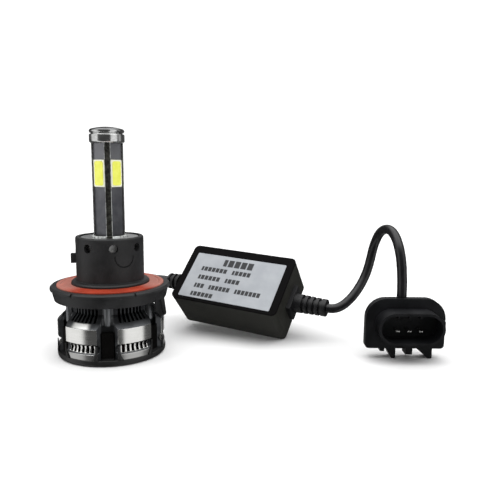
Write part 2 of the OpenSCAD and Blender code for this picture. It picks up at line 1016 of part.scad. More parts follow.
// Strain relief on the lamp's side of the driver.
module driver_inlet_gland() {
    in_driver()
        translate([0, 0, gland_z])
            rotate([0, 0, 180])
                gland(inlet_gland_l, 3);
}

// Strain relief on the plug's side of the driver.
module driver_outlet_gland() {
    in_driver()
        translate([0, 0, gland_z])
            gland(outlet_gland_l, 4);
}

// Cable from the driver to the plug.
module plug_cable() {
    color("black")
        cable(plug_route, [1, 1, 0]);
}

// Places a flat outline, drawn in X and Z, from one depth to another.
module upright(y_front, y_back) {
    translate([plug_x, y_back, 0])
        rotate([90, 0, 0])
            linear_extrude(y_back - y_front)
                children();
}

// Outline of the plug's back plate, with large upper corners.
module plate_outline(inset = 0) {
    w = plate_w - 2 * inset;
    low = plate_z + inset;
    top = plate_top_z - inset;
    big = 8 - inset;
    small = max(1.5 - inset, 0.4);
    translate([-w / 2, low + small])
        square([w, top - low - small - big]);
    translate([small - w / 2, low])
        square([w - 2 * small, top - low - big]);
    translate([big - w / 2, low])
        square([w - 2 * big, top - low]);
    for (side = [-1, 1]) {
        translate([side * (w / 2 - big), top - big])
            circle(r = big, $fn = 64);
        translate([side * (w / 2 - small), low + small])
            circle(r = small, $fn = 32);
    }
}

// Keying fins and posts under the plug.
module plug_fins() {
    top = plate_z + 1;
    upright(fin_y, fin_y + fin_depth) {
        polygon([[-7.2, top], [-7.2, plate_z], [-4.8, 0], [-3.7, 0], [-3.3, 0.5], [-3.3, top]]);
        polygon([[4.8, top], [4.8, plate_z], [9.8, 0], [10.8, 0], [11.2, 0.4], [11.2, top]]);
        translate([0.7, 1.6])
            square([2.7, top - 1.6]);
        translate([-9.4, 2.9])
            square([1.7, top - 2.9]);
    }
}

// Front moulding of the plug: back plate, shroud and fins.
module plug_body() {
    inner_w = shroud_w - 2 * shroud_wall;
    inner_h = shroud_h - 2 * shroud_wall;
    color("black")
        difference() {
            union() {
                upright(plate_y, joint_y)
                    plate_outline();
                upright(shroud_y, plate_y + eps)
                    translate([shroud_x - plug_x, shroud_mid_z])
                        stadium(shroud_w, shroud_h);
                translate([shroud_x + shroud_w / 2 - 1, (shroud_y + plate_y) / 2 - 1, shroud_mid_z - 2.4])
                    cube([1.9, (plate_y - shroud_y) / 2 + 1, 4.8]);
                plug_fins();
            }
            upright(shroud_y - 1, socket_floor_y)
                translate([shroud_x - plug_x, shroud_mid_z])
                    difference() {
                        stadium(inner_w, inner_h);
                        for (x = [-5.6, -1.4, 2.9])
                            translate([x, inner_h / 2 - 0.9])
                                square([0.6, 1]);
                    }
            for (i = [-1:1])
                translate([terminal_x + i * terminal_pitch, 0, terminal_z])
                    cube([terminal_w + 0.1, 40, terminal_t + 0.1], center = true);
            upright(joint_y - 1, joint_y + 1)
                plate_outline(inset = 4);
        }
}

// Rear cover of the plug.
module plug_cover() {
    color("black")
        difference() {
            union() {
                upright(joint_y, cover_y - 0.8)
                    plate_outline(inset = 1.3);
                upright(cover_y - 0.8, cover_y)
                    plate_outline(inset = 2.1);
            }
            upright(joint_y - 1, cover_y - 1)
                plate_outline(inset = 3.4);
        }
}

// Three flat terminals in the plug's socket.
module plug_terminals() {
    color("silver")
        for (i = [-1:1])
            translate([terminal_x + i * terminal_pitch, (terminal_tip_y - 4) / 2, terminal_z])
                cube([terminal_w, -4 - terminal_tip_y, terminal_t], center = true);
}

// Insulated wires inside the plug.
module plug_wires() {
    color("firebrick")
        for (i = [-1:1])
            translate([terminal_x + i * terminal_pitch, -4.1, terminal_z + terminal_t / 2])
                cylinder(h = 5.6, r = 0.7, $fn = 24);
}

heat_sink();
lamp_core();
neck_plate();
core_wires();
tip_cap();
led_board(0);  // led_board_1
led_board(1);  // led_board_2
led_board(2);  // led_board_3
led_board(3);  // led_board_4
led_package(0);  // led_package_1
led_package(1);  // led_package_2
led_package(2);  // led_package_3
led_package(3);  // led_package_4
phosphor(0);  // phosphor_1
phosphor(1);  // phosphor_2
phosphor(2);  // phosphor_3
phosphor(3);  // phosphor_4
base_collar();
seal_ring();
clamp_screws();
fan_ring();
fan_screws();
fan_frame();
fan_board();
stator_core();
stator_coils();
bearing_bush();
impeller();
rotor_cup();
rotor_magnet();
fan_shaft();
thrust_washer();
lead_grommet();
bulb_lead();
driver_case();
driver_base();
driver_label();
driver_board();
inductor_core();
inductor_winding();
driver_capacitors();
driver_chips();
driver_inlet_gland();
driver_outlet_gland();
plug_cable();
plug_body();
plug_cover();
plug_terminals();
plug_wires();
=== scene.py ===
"""LED headlight bulb with its driver and plug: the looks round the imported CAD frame.

Metres, in the frame's axes: the lamp's axis is +Z, its front faces -Y, and the driver and the plug lie
towards +X. Bearings round the lamp are given from the front, positive towards +X.
"""

import json
import math

import bmesh
import bpy
from mathutils import Matrix, Vector


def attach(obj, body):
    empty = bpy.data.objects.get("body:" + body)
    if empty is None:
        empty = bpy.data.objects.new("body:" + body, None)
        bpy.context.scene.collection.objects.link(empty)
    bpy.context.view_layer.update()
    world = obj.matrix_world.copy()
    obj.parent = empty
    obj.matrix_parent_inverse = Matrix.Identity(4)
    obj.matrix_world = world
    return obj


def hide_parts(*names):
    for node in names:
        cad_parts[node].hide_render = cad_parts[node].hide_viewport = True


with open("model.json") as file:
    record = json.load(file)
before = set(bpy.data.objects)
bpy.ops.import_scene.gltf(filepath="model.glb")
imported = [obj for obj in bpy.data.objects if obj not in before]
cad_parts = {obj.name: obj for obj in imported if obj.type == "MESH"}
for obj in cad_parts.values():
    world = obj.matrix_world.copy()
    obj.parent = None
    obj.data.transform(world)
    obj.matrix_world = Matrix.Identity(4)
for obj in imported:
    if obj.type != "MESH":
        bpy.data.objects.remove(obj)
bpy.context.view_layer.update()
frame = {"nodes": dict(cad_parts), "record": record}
MM = 0.001
NODES = frame["nodes"]
SLOT_OF = {part["node"]: part["material_slot"] for part in frame["record"]["subparts"]}

# Driving places and sizes that part.scad also holds, in millimetres and degrees.
TOWER_TURN = 14
GROOVE_TURN = 9
LOBES = 6
LOBE_STEP = 360 / LOBES
CABLE_D = 3.9
DRIVER_AT = (51, 28.5, 18.75)
DRIVER_TURN = (44, 3, -25.5)
LEAD_ROUTE = [
    (-3.6, 22.7, 9), (-4.0, 25.8, 9), (-4.5, 28.9, 9.1), (-5.1, 31.9, 9.4), (-5.9, 34.8, 10),
    (-6.6, 37.8, 10.9), (-6.9, 40.7, 12), (-6.4, 43.5, 13.3), (-5, 46, 14.6), (-2.9, 47.9, 15.9),
    (-0.4, 49.3, 17.1), (2.5, 50, 18), (5.5, 50.2, 18.8), (8.6, 49.7, 19.3), (11.5, 48.8, 19.5),
    (14.4, 47.6, 19.5), (17.2, 46.2, 19.3),
]
PLUG_ROUTE = [
    (88.8, 12, 15.1), (92, 11.3, 15.2), (95.1, 11.7, 16.2), (98.1, 12.8, 18.2), (101.1, 14.3, 21.1),
    (103.8, 16, 24.6), (105.9, 17.4, 28.3), (107.4, 18.4, 32.2), (108.4, 18.8, 36.3), (109.1, 18.3, 40.4),
    (109.8, 16.5, 44.2), (110.5, 13.5, 47.4), (111.5, 9.8, 49.4), (112.7, 5.7, 49.7), (113.6, 1.7, 48.2),
    (114.2, -1.7, 45.5), (114.7, -4, 41.9), (115.2, -5, 37.7), (115.6, -5.1, 33.4), (115.9, -5, 29),
    (116, -4.8, 24.3),
]

# Heights where a metal's finish changes, in millimetres: up the heat sink's lobes, and at the tower's foot.
FOOT_TOP, WAIST_TOP, BAND_TOP, SHOULDER_TOP = 5.1, 8.5, 14.32, 16.3
TOWER_FOOT = 47.5


# ---------------------------------------------------------------- camera

# In millimetres and degrees.
CAMERA_AT = (55.87, -218.54, 75.04)
CAMERA_PITCH = 8.65
CAMERA_ROLL = 0.57
CAMERA_LENS = 39.87
CAMERA_SENSOR = 36


def add_camera():
    """A camera at the photograph's place: a little right of the lamp, looking slightly down."""
    data = bpy.data.cameras.new("camera")
    data.lens = CAMERA_LENS
    data.sensor_width = CAMERA_SENSOR
    camera = bpy.data.objects.new("camera", data)
    bpy.context.scene.collection.objects.link(camera)
    pitch = Matrix.Rotation(math.radians(90 - CAMERA_PITCH), 4, "X")
    roll = Matrix.Rotation(math.radians(CAMERA_ROLL), 4, "Z")
    camera.matrix_world = Matrix.Translation(Vector(CAMERA_AT) * MM) @ pitch @ roll
    bpy.context.scene.camera = camera


# ---------------------------------------------------------------- node graphs

class Graph:
    """Short calls that add nodes to one node tree."""

    def __init__(self, tree):
        self.tree = tree

    def node(self, kind, settings=None, inputs=None):
        """A new node with its settings and its inputs, which are values or other nodes' sockets."""
        made = self.tree.nodes.new("ShaderNode" + kind)
        for name, value in (settings or {}).items():
            setattr(made, name, value)
        for name, value in (inputs or {}).items():
            self.feed(made.inputs[name], value)
        return made

    def feed(self, socket, value):
        """Links another node's socket to an input, or sets the input's own value."""
        if isinstance(value, bpy.types.NodeSocket):
            self.tree.links.new(value, socket)
        else:
            socket.default_value = value

    def calc(self, operation, *values):
        """The result of one Math node."""
        made = self.node("Math", {"operation": operation})
        for socket, value in zip(made.inputs, values):
            self.feed(socket, value)
        return made.outputs[0]

    def rest(self, value):
        """What is left of 1."""
        return self.calc("SUBTRACT", 1.0, value)

    def total(self, *values):
        result = values[0]
        for value in values[1:]:
            result = self.calc("ADD", result, value)
        return result

    def product(self, *values):
        result = values[0]
        for value in values[1:]:
            result = self.calc("MULTIPLY", result, value)
        return result

    def step(self, value, low, high):
        """0 at low, 1 at high, and smooth between them; it falls where low is given above high."""
        made = self.node("MapRange", {"interpolation_type": "SMOOTHSTEP"},
                         {"Value": value, "From Min": low, "From Max": high})
        return made.outputs["Result"]

    def band(self, value, low, high, soft):
        """1 between low and high, and 0 outside them."""
        rise = self.step(value, low - soft, low + soft)
        fall = self.step(value, high - soft, high + soft)
        return self.calc("SUBTRACT", rise, fall)

    def scale(self, value, low, high):
        """Maps 0..1 to low..high."""
        made = self.node("MapRange", None, {"Value": value, "To Min": low, "To Max": high})
        return made.outputs["Result"]

    def blend(self, factor, first, second):
        """Mixes two colours: the first where the factor is 0, the second where it is 1."""
        made = self.node("Mix", {"data_type": "RGBA"})
        for index, value in ((0, factor), (6, first), (7, second)):
            if isinstance(value, tuple):
                value = (*value, 1)
            self.feed(made.inputs[index], value)
        return made.outputs[2]

    def noise(self, point, scale, detail=3.0, roughness=0.55):
        """Soft noise, about 0 to 1, whose scale counts its cells to the metre."""
        made = self.node("TexNoise", None, {"Vector": point, "Scale": scale, "Detail": detail,
                                            "Roughness": roughness})
        return made.outputs["Fac"]

    def split(self, vector):
        """The x, y and z of a vector."""
        return self.node("SeparateXYZ", None, {0: vector}).outputs

    def join(self, x, y, z):
        return self.node("CombineXYZ", None, {0: x, 1: y, 2: z}).outputs[0]


class Look(Graph):
    """One Principled material. Its point is the place in the frame's axes, in metres."""

    def __init__(self, name, metallic=0.0, **sockets):
        self.material = bpy.data.materials.new(name)
        self.material.use_nodes = True
        super().__init__(self.material.node_tree)
        self.shader = self.tree.nodes["Principled BSDF"]
        self.shader.inputs["Metallic"].default_value = metallic
        for socket, value in sockets.items():
            self.shader.inputs[socket.replace("_", " ")].default_value = value
        self.point = self.node("TexCoord").outputs["Object"]

    def colour(self, value):
        self.feed(self.shader.inputs["Base Color"], value)

    def roughness(self, value):
        self.feed(self.shader.inputs["Roughness"], value)

    def bumps(self, *heights):
        """Bump maps on each other; each is (height, its depth in metres)."""
        normal = None
        for height, depth in heights:
            made = self.node("Bump", None, {"Height": height, "Distance": depth, "Strength": 1.0})
            if normal is not None:
                self.feed(made.inputs["Normal"], normal)
            normal = made.outputs["Normal"]
        self.feed(self.shader.inputs["Normal"], normal)

    def round_axis(self):
        """Radius, bearing in degrees and height round the lamp's axis."""
        x, y, z = self.split(self.point)[:3]
        radius = self.calc("SQRT", self.total(self.product(x, x), self.product(y, y)))
        bearing = self.calc("DEGREES", self.calc("ARCTAN2", x, self.product(y, -1.0)))
        return radius, bearing, z

    def off_bearing(self, bearing, centre, step):
        """Degrees to the nearest of the bearings that repeat every step from the centre."""
        offset = self.calc("SUBTRACT", bearing, float(centre))
        return self.calc("ABSOLUTE", self.calc("WRAP", offset, step / 2, -step / 2))

    def patches(self, noise, first, second):
        """Two colours in soft patches."""
        return self.blend(self.step(noise, 0.3, 0.7), first, second)

    def turned_streaks(self, radius, bearing, z, pitch):
        """Fine tool lines round the axis, about 0 to 1."""
        lines = [self.product(value, 1 / pitch) for value in (z, radius)]
        along = self.join(self.product(bearing, 0.02), *lines)
        return self.noise(along, 1.0, detail=2.0, roughness=0.7)


def tone(colour, share):
    """A colour made lighter or darker."""
    return tuple(min(1.0, c * share) for c in colour)


# ---------------------------------------------------------------- materials

def mould_grain(look, smoothest, roughest, grain=0.006):
    """Uneven gloss and fine grain, as a mould leaves them; gives back the broad unevenness."""
    broad = look.noise(look.point, 140, detail=4.0)
    fine = look.noise(look.point, 3200, detail=2.0)
    look.roughness(look.scale(look.step(broad, 0.25, 0.75), smoothest, roughest))
    look.bumps((fine, grain * MM), (broad, 0.02 * MM))
    return broad


def moulded(name, colour, roughness, grain=0.006, mottle=0.3, specular=0.4):
    """Moulded plastic or rubber: faint mottling, fine grain, a few dust specks and uneven gloss."""
    look = Look(name, Specular_IOR_Level=specular)
    broad = mould_grain(look, roughness - 0.06, roughness + 0.07, grain)
    dust = look.step(look.noise(look.point, 1500, detail=1.0), 0.72, 0.8)
    body = look.patches(broad, tone(colour, 1 - mottle), tone(colour, 1 + mottle))
    look.colour(look.blend(look.product(dust, 0.35), body, tone(colour, 6.0)))
    return look.material


def bare_metal(name, colour, roughness, pitch=0.12):
    """Machined metal with fine lines, stains and uneven polish."""
    look = Look(name, metallic=1.0)
    stretched = look.node("Mapping", None, {"Vector": look.point, "Scale": (1, 1, 14)}).outputs[0]
    lines = look.noise(stretched, 0.3 / (pitch * MM), detail=2.0, roughness=0.7)
    stains = look.noise(look.point, 300, detail=5.0)
    look.colour(look.blend(look.step(stains, 0.3, 0.75), tone(colour, 0.78), tone(colour, 1.06)))
    look.roughness(look.scale(lines, roughness * 0.7, roughness * 1.4))
    look.bumps((lines, 0.004 * MM))
    return look.material


def sink_anodised():
    """Black anodised aluminium; the lobes' outer faces are turned bright after it."""
    look = Look("sink_anodised", metallic=1.0)
    radius, bearing, z = look.round_axis()
    off_lobe = look.off_bearing(bearing, GROOVE_TURN + LOBE_STEP / 2, LOBE_STEP)
    lobe = look.step(off_lobe, 24.0, 22.0)
    streaks = look.turned_streaks(radius, bearing, z, 0.5 * MM)
    stains = look.noise(look.point, 260, detail=5.0)
    grains = look.noise(look.point, 2600, detail=2.0)

    # The band is bright at its full radius, and the hollow waist below it is bright all over.
    faces = look.product(look.step(radius, 18.9 * MM, 19.1 * MM), look.calc("LESS_THAN", z, BAND_TOP * MM))
    waist = look.band(z, FOOT_TOP * MM, WAIST_TOP * MM, 0.15 * MM)
    bright = look.product(faces, look.calc("MAXIMUM", waist, look.step(radius, 20.86 * MM, 20.93 * MM)))

    # The shoulder gets a painted highlight in the lobes' middle, on the lamp's left side only, where the
    # light falls.
    shoulder = look.band(z, 14.4 * MM, SHOULDER_TOP * MM, 0.2 * MM)
    shoulder = look.product(look.step(radius, 19 * MM, 19.4 * MM), shoulder)
    lit_side = look.scale(look.step(bearing, GROOVE_TURN - 4.0, GROOVE_TURN + 4.0), 0.6, 0.0)
    middle = look.step(off_lobe, 13.5, 7.0)
    bright = look.calc("MAXIMUM", bright, look.product(shoulder, middle, lit_side))

    # Below the band the lobes' corners stay black, and the foot is half as bright.
    below = look.step(z, (WAIST_TOP + 0.2) * MM, WAIST_TOP * MM)
    bright = look.product(bright, look.rest(look.product(below, look.step(off_lobe, 15.8, 16.8))))
    foot = look.step(z, (FOOT_TOP + 0.15) * MM, (FOOT_TOP - 0.05) * MM)
    bright = look.product(bright, look.scale(foot, 1.0, 0.5))

    anodised = look.patches(stains, (0.055, 0.057, 0.06), (0.1, 0.104, 0.11))
    fins = look.product(look.step(z, 15.2 * MM, 16.6 * MM), look.step(radius, 17.2 * MM, 18.9 * MM), lobe)
    anodised = look.blend(fins, anodised, (0.03, 0.031, 0.033))
    pillars = look.product(look.step(z, 14.9 * MM, 15.6 * MM), look.rest(lobe))
    anodised = look.blend(pillars, anodised, (0.3, 0.31, 0.32))
    turned = look.blend(streaks, (0.66, 0.66, 0.64), (0.9, 0.9, 0.88))
    turned = look.blend(look.product(stains, 0.35), turned, (0.5, 0.49, 0.46))
    look.colour(look.blend(bright, anodised, turned))

    dull = look.total(look.scale(stains, 0.34, 0.5), look.product(look.step(z, 14.6 * MM, 15.4 * MM), 0.22))
    shiny = look.scale(streaks, 0.1, 0.26)
    look.roughness(look.total(look.product(dull, look.rest(bright)), look.product(shiny, bright)))
    look.bumps((look.product(streaks, bright), 0.006 * MM), (grains, 0.004 * MM))
    return look.material


def tower_metal():
    """Dark rough-blasted metal; the rails' long edges are worn bright, and the flats are milled bare."""
    look = Look("tower_metal", metallic=0.9)
    radius, bearing, z = look.round_axis()
    off_rail = look.off_bearing(bearing, TOWER_TURN, 90)
    edge = look.step(off_rail, 9.0, 10.4)
    edge = look.product(edge, look.step(radius, 5.85 * MM, 5.92 * MM), look.step(z, 46 * MM, 47 * MM))
    flats = look.calc("LESS_THAN", radius, 5.95 * MM)
    milled = look.product(flats, look.calc("GREATER_THAN", z, TOWER_FOOT * MM))
    wear = look.step(look.noise(look.point, 700, detail=4.0), 0.36, 0.56)
    blotches = look.noise(look.point, 900, detail=5.0, roughness=0.7)
    pits = look.noise(look.point, 3000, detail=2.0)
    blasted = look.blend(look.step(blotches, 0.35, 0.68), (0.03, 0.03, 0.027), (0.11, 0.11, 0.095))
    body = look.blend(milled, blasted, look.blend(blotches, (0.26, 0.26, 0.25), (0.4, 0.4, 0.39)))
    worn = look.product(edge, look.scale(wear, 0.35, 1.0))
    look.colour(look.blend(worn, body, (0.86, 0.88, 0.87)))
    look.roughness(look.calc("MAXIMUM", look.scale(blotches, 0.34, 0.62), look.product(edge, 0.6)))
    look.bumps((blotches, 0.05 * MM), (pits, 0.012 * MM))
    return look.material


def cap_metal():
    """Polished gunmetal with tool lines round its axis, and painted shade that darkens the dome."""
    look = Look("cap_metal", metallic=1.0)
    radius, bearing, z = look.round_axis()
    streaks = look.turned_streaks(radius, bearing, z, 0.3 * MM)
    stains = look.noise(look.point, 500, detail=4.0)
    # Painted shade: the dome's colour is made much darker than the polished band below it.
    shaded_dome = look.step(z, 87.7 * MM, 88.1 * MM)
    polished = look.blend(look.step(stains, 0.35, 0.7), (0.5, 0.505, 0.5), (0.68, 0.685, 0.68))
    look.colour(look.blend(shaded_dome, polished, look.blend(stains, (0.1, 0.102, 0.103), (0.16, 0.162, 0.163))))
    look.roughness(look.scale(streaks, 0.1, 0.24))
    look.bumps((streaks, 0.005 * MM))
    return look.material


def board_mask():
    """Dark satin solder mask with a faint lengthwise brush, and painted light that makes it paler towards
    the tip.
    """
    look = Look("board_mask", metallic=0.55)
    long_grain = look.node("Mapping", None, {"Vector": look.point, "Scale": (1, 1, 0.06)}).outputs[0]
    brush = look.noise(long_grain, 2600, detail=3.0, roughness=0.7)
    broad = look.noise(look.point, 220, detail=3.0)
    mask = look.patches(broad, (0.075, 0.077, 0.087), (0.115, 0.117, 0.13))
    # Painted light: the upper part of the board is paled, and the lower part is left darker.
    high = look.step(look.split(look.point)[2], 58 * MM, 80 * MM)
    look.colour(look.blend(look.product(high, 0.5), mask, (0.26, 0.262, 0.275)))
    look.roughness(look.scale(brush, 0.3, 0.5))
    look.bumps((brush, 0.006 * MM))
    return look.material


def package_ceramic():
    """Cream-white moulded LED frame."""
    look = Look("package_ceramic", Specular_IOR_Level=0.4)
    broad = look.noise(look.point, 500, detail=3.0)
    look.colour(look.blend(broad, (0.86, 0.86, 0.66), (0.95, 0.95, 0.82)))
    look.roughness(look.scale(broad, 0.35, 0.5))
    look.bumps((look.noise(look.point, 2500), 0.004 * MM))
    return look.material


def phosphor_yellow():
    """Lemon-yellow phosphor in clear silicone, a little uneven."""
    look = Look("phosphor_yellow", Specular_IOR_Level=0.35)
    broad = look.noise(look.point, 420, detail=4.0)
    grain = look.noise(look.point, 4200, detail=2.0)
    yellow = look.patches(broad, (0.82, 0.84, 0.075), (0.9, 0.93, 0.16))
    look.colour(look.blend(look.product(grain, 0.2), yellow, (0.93, 0.9, 0.3)))
    look.roughness(look.scale(broad, 0.3, 0.45))
    look.bumps((grain, 0.006 * MM))
    return look.material


def seal_silicone():
    """Orange-red silicone with a faint talc bloom, and a painted sheen that makes it paler on its two sides.
    """
    look = Look("seal_silicone", Specular_IOR_Level=0.12)
    bearing = look.round_axis()[1]
    # Painted sheen: the two sides across the lamp are paled, as glare at a grazing angle would pale them.
    across = look.calc("SINE", look.calc("RADIANS", look.calc("SUBTRACT", bearing, float(TOWER_TURN))))
    sides = look.step(look.calc("ABSOLUTE", across), 0.6, 0.9)
    broad = look.noise(look.point, 160, detail=4.0)
    talc = look.step(look.noise(look.point, 900, detail=5.0, roughness=0.75), 0.5, 0.78)
    rubber = look.patches(broad, (0.3, 0.034, 0.014), (0.4, 0.05, 0.022))
    talc_and_sheen = look.total(look.product(talc, 0.12), look.product(sides, look.scale(talc, 0.45, 0.8)))
    look.colour(look.blend(talc_and_sheen, rubber, (0.53, 0.3, 0.25)))
    look.roughness(look.scale(broad, 0.4, 0.55))
    look.bumps((look.noise(look.point, 1800), 0.008 * MM), (broad, 0.04 * MM))
    return look.material


def circuit_board():
    """Green solder mask with copper tracks under it."""
    look = Look("circuit_board", Specular_IOR_Level=0.5)
    cells = look.node("TexVoronoi", {"feature": "DISTANCE_TO_EDGE"}, {"Vector": look.point, "Scale": 420.0})
    track = look.step(cells.outputs["Distance"], 0.06, 0.1)
    broad = look.noise(look.point, 300)
    mask = look.blend(track, (0.012, 0.14, 0.05), (0.02, 0.075, 0.03))
    look.colour(look.blend(look.product(broad, 0.3), mask, (0.03, 0.16, 0.07)))
    look.roughness(look.scale(broad, 0.25, 0.4))
    look.bumps((track, -0.02 * MM))
    return look.material


def copper_wire():
    """Enamelled winding wire, laid side by side."""
    look = Look("copper_wire", metallic=0.9)
    turns = look.noise(look.point, 1500, detail=1.0)
    look.colour(look.blend(turns, (0.48, 0.14, 0.05), (0.72, 0.28, 0.12)))
    look.roughness(look.scale(turns, 0.2, 0.35))
    look.bumps((turns, 0.03 * MM))
    return look.material


def driver_point(look):
    """The place in the driver case's own axes, in metres."""
    return look.node("Mapping", {"vector_type": "TEXTURE"}, {
        "Vector": look.point,
        "Location": Vector(DRIVER_AT) * MM,
        "Rotation": [math.radians(a) for a in DRIVER_TURN],
    }).outputs[0]


def ring_plastic():
    """Satin black moulding; its fingers, deep in the grooves, get painted shade: a blacker colour and less
    specular.
    """
    look = Look("ring_plastic")
    bearing, z = look.round_axis()[1:]
    off_groove = look.off_bearing(bearing, GROOVE_TURN, LOBE_STEP)
    # Painted shade on the fingers down in the grooves.
    shaded_finger = look.product(look.step(z, 2.6 * MM, 3.2 * MM), look.calc("LESS_THAN", off_groove, 9.0))
    broad = mould_grain(look, 0.36, 0.49)
    open_face = look.patches(broad, (0.0077, 0.0077, 0.0077), (0.0143, 0.0143, 0.0143))
    finger_shade_colour = look.patches(broad, (0.0022, 0.002, 0.0018), (0.0036, 0.0033, 0.003))
    look.feed(look.shader.inputs["Specular IOR Level"], look.scale(shaded_finger, 0.35, 0.05))
    look.colour(look.blend(shaded_finger, open_face, finger_shade_colour))
    return look.material


def case_plastic():
    """Matt black moulding; the lip round the label is painted blacker than the walls as shade, and has less
    specular.
    """
    look = Look("case_plastic")
    # Painted shade: the top lip round the label is darkened.
    lip = look.step(look.split(driver_point(look))[2], 8.9 * MM, 9.6 * MM)
    broad = mould_grain(look, 0.4, 0.52, grain=0.008)
    walls = look.patches(broad, (0.02, 0.0202, 0.0172), (0.027, 0.0272, 0.0235))
    lip_shade_colour = look.patches(broad, (0.0028, 0.0026, 0.0028), (0.0045, 0.004, 0.0043))
    look.feed(look.shader.inputs["Specular IOR Level"], look.scale(lip, 0.12, 0.02))
    look.colour(look.blend(lip, walls, lip_shade_colour))
    return look.material


def label_foil():
    """Silver-grey satin film, with plain printed blocks in rows where the real one has its wording."""
    look = Look("label_foil", metallic=0.35, Specular_IOR_Level=0.25)
    local = driver_point(look)
    x, y = look.split(local)[:2]
    left, top = -22.2 * MM, 10.7 * MM
    rows = [
        # distance from the left and from the top edge, height and pitch of the blocks, blocks in each word
        (14.9, 3.7, 3.7, 3.2, (5,)),
        (5.3, 8.2, 2.3, 1.95, (7, 5)),
        (5.6, 12.9, 2.3, 1.95, (6, 4)),
        (5.6, 17.5, 2.3, 1.84, (3, 6, 7)),
        (5.7, 21.9, 2.2, 1.95, (6,)),
    ]
    marks = []
    for start, down, height, pitch, words in rows:
        row = look.band(y, top - (down + height / 2) * MM, top - (down - height / 2) * MM, 0.12 * MM)
        spans = []
        for count in words:
            end = start + pitch * (count - 0.3)
            spans.append(look.band(x, left + start * MM, left + end * MM, 0.05 * MM))
            start += pitch * (count + 1)
        # The gaps between blocks repeat every pitch, on both sides of this one.
        gap_at = left + (start - 0.35 * pitch) * MM
        off_gap = look.calc("PINGPONG", look.calc("SUBTRACT", x, gap_at), pitch / 2 * MM)
        blocks = look.step(off_gap, 0.05 * pitch * MM, 0.13 * pitch * MM)
        marks.append(look.product(row, look.total(*spans), blocks))
    print_mask = look.product(look.total(*marks), 0.94)
    brush = look.noise(look.node("Mapping", None, {"Vector": local, "Scale": (0.05, 1, 1)}).outputs[0], 4000)
    broad = look.noise(local, 120, detail=4.0)
    film = look.patches(broad, (0.29, 0.305, 0.325), (0.335, 0.35, 0.37))
    black = (0.01, 0.01, 0.011)
    look.colour(look.blend(print_mask, film, black))
    look.roughness(look.scale(brush, 0.38, 0.55))
    look.bumps((brush, 0.004 * MM))
    return look.material


def cable_sheath():
    """Semi-gloss black sheath with a faint crease pattern."""
    look = Look("cable_sheath", Specular_IOR_Level=0.4)
    broad = look.noise(look.point, 180, detail=3.0)
    fine = look.noise(look.point, 2200, detail=3.0)
    look.colour(look.patches(broad, (0.006, 0.006, 0.007), (0.011, 0.0105, 0.012)))
    look.roughness(look.scale(broad, 0.24, 0.38))
    look.bumps((fine, 0.012 * MM), (broad, 0.08 * MM))
    return look.material


def fan_red():
    """Glossy red moulding."""
    look = Look("fan_red", Specular_IOR_Level=0.5, Coat_Weight=0.3, Coat_Roughness=0.15)
    broad = look.noise(look.point, 220, detail=3.0)
    fine = look.noise(look.point, 2600, detail=2.0)
    look.colour(look.patches(broad, (0.52, 0.012, 0.016), (0.66, 0.02, 0.024)))
    look.roughness(look.scale(broad, 0.25, 0.38))
    look.bumps((fine, 0.005 * MM))
    return look.material


MATERIALS = {
    "sink_anodised": sink_anodised(),
    "tower_metal": tower_metal(),
    "bright_plate": bare_metal("bright_plate", (0.72, 0.73, 0.73), 0.3),
    "cap_metal": cap_metal(),
    "board_mask": board_mask(),
    "package_ceramic": package_ceramic(),
    "phosphor_yellow": phosphor_yellow(),
    "collar_plastic": moulded("collar_plastic", (0.0145, 0.0147, 0.0155), 0.5, grain=0.014, specular=0.3),
    "seal_silicone": seal_silicone(),
    "ring_plastic": ring_plastic(),
    "fan_red": fan_red(),
    "motor_plastic": moulded("motor_plastic", (0.016, 0.016, 0.017), 0.5),
    "bright_steel": bare_metal("bright_steel", (0.74, 0.74, 0.73), 0.42),
    "silicon_iron": bare_metal("silicon_iron", (0.36, 0.37, 0.39), 0.4),
    "magnet_ferrite": moulded("magnet_ferrite", (0.05, 0.05, 0.053), 0.55, grain=0.02),
    "copper_wire": copper_wire(),
    "bush_bronze": bare_metal("bush_bronze", (0.5, 0.33, 0.15), 0.4),
    "washer_nylon": moulded("washer_nylon", (0.62, 0.61, 0.56), 0.4, mottle=0.06),
    "circuit_board": circuit_board(),
    "lead_rubber": moulded("lead_rubber", (0.007, 0.007, 0.008), 0.45, specular=0.35),
    "cable_sheath": cable_sheath(),
    "wire_insulation": moulded("wire_insulation", (0.4, 0.02, 0.02), 0.35, mottle=0.12),
    "case_plastic": case_plastic(),
    "label_foil": label_foil(),
    "ferrite_core": moulded("ferrite_core", (0.42, 0.36, 0.06), 0.5, mottle=0.15),
    "capacitor_can": moulded("capacitor_can", (0.014, 0.02, 0.06), 0.3),
    "chip_epoxy": moulded("chip_epoxy", (0.014, 0.014, 0.015), 0.55, grain=0.012),
    "plug_plastic": moulded("plug_plastic", (0.006, 0.0063, 0.0075), 0.45, grain=0.006, specular=0.28),
    "terminal_tin": bare_metal("terminal_tin", (0.8, 0.8, 0.78), 0.2),
}


# ---------------------------------------------------------------- CAD nodes

# Width of the rounding on each node's edges, in millimetres; nodes that aren't named get the first.
ROUND_EDGE = 0.08
ROUND_EDGES = {
    "heat_sink": 0.1, "lamp_core": 0.12, "tip_cap": 0.12, "plug_terminals": 0.15, "base_collar": 0.2,
    "seal_ring": 0.2, "fan_ring": 0.2, "lead_grommet": 0.2, "driver_inlet_gland": 0.25,
    "driver_outlet_gland": 0.25, "plug_body": 0.25, "plug_cover": 0.4, "driver_case": 0.5,
}


# Points closer than this are one, and faces that meet flatter than this are one face.
WELD_GAP = 0.001
FLAT_ANGLE = 0.8
# Sharper edges than this are rounded.
EDGE_ANGLE = 28


